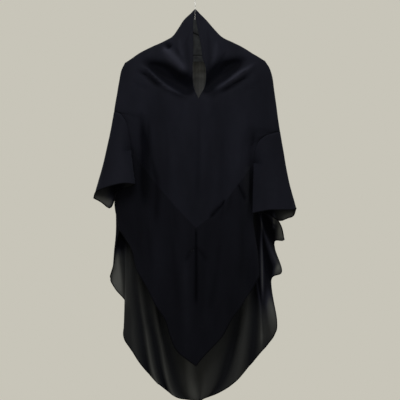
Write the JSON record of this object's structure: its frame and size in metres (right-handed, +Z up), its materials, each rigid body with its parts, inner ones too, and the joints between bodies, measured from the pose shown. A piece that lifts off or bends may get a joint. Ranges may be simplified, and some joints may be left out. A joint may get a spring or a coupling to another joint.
{
  "type": "khimar veil on a clothes hanger",
  "caption": "Long khimar veil with a face slit, cowl folds, V-seamed yoke, pointed lower front, rounded back with flutes and wide sleeves, hung on a hanger.",
  "frame": {"origin": "inside top of the hanger's hook, where it hangs on a rail", "axes": "+Z up along the hang line, -Y towards the front with the face opening, +X across the shoulders to the viewer's right"},
  "size_m": [0.6214, 0.0981, 1.3019],
  "materials": {
    "front_yoke_crepe": "matte",
    "front_panel_crepe": "matte",
    "back_panel_crepe": "matte",
    "sleeve_left_crepe": "matte",
    "sleeve_right_crepe": "matte",
    "brow_band_knit": "matte",
    "bar_wood": "satin",
    "hook_steel": "polished"
  },
  "bodies": {
    "root": {"front_yoke": "front_yoke_crepe", "front_panel": "front_panel_crepe", "back_panel": "back_panel_crepe", "sleeve_left": "sleeve_left_crepe", "sleeve_right": "sleeve_right_crepe", "brow_band": "brow_band_knit", "hanger_bar": "bar_wood", "hanger_hook": "hook_steel"}
  },
  "joints": []
}
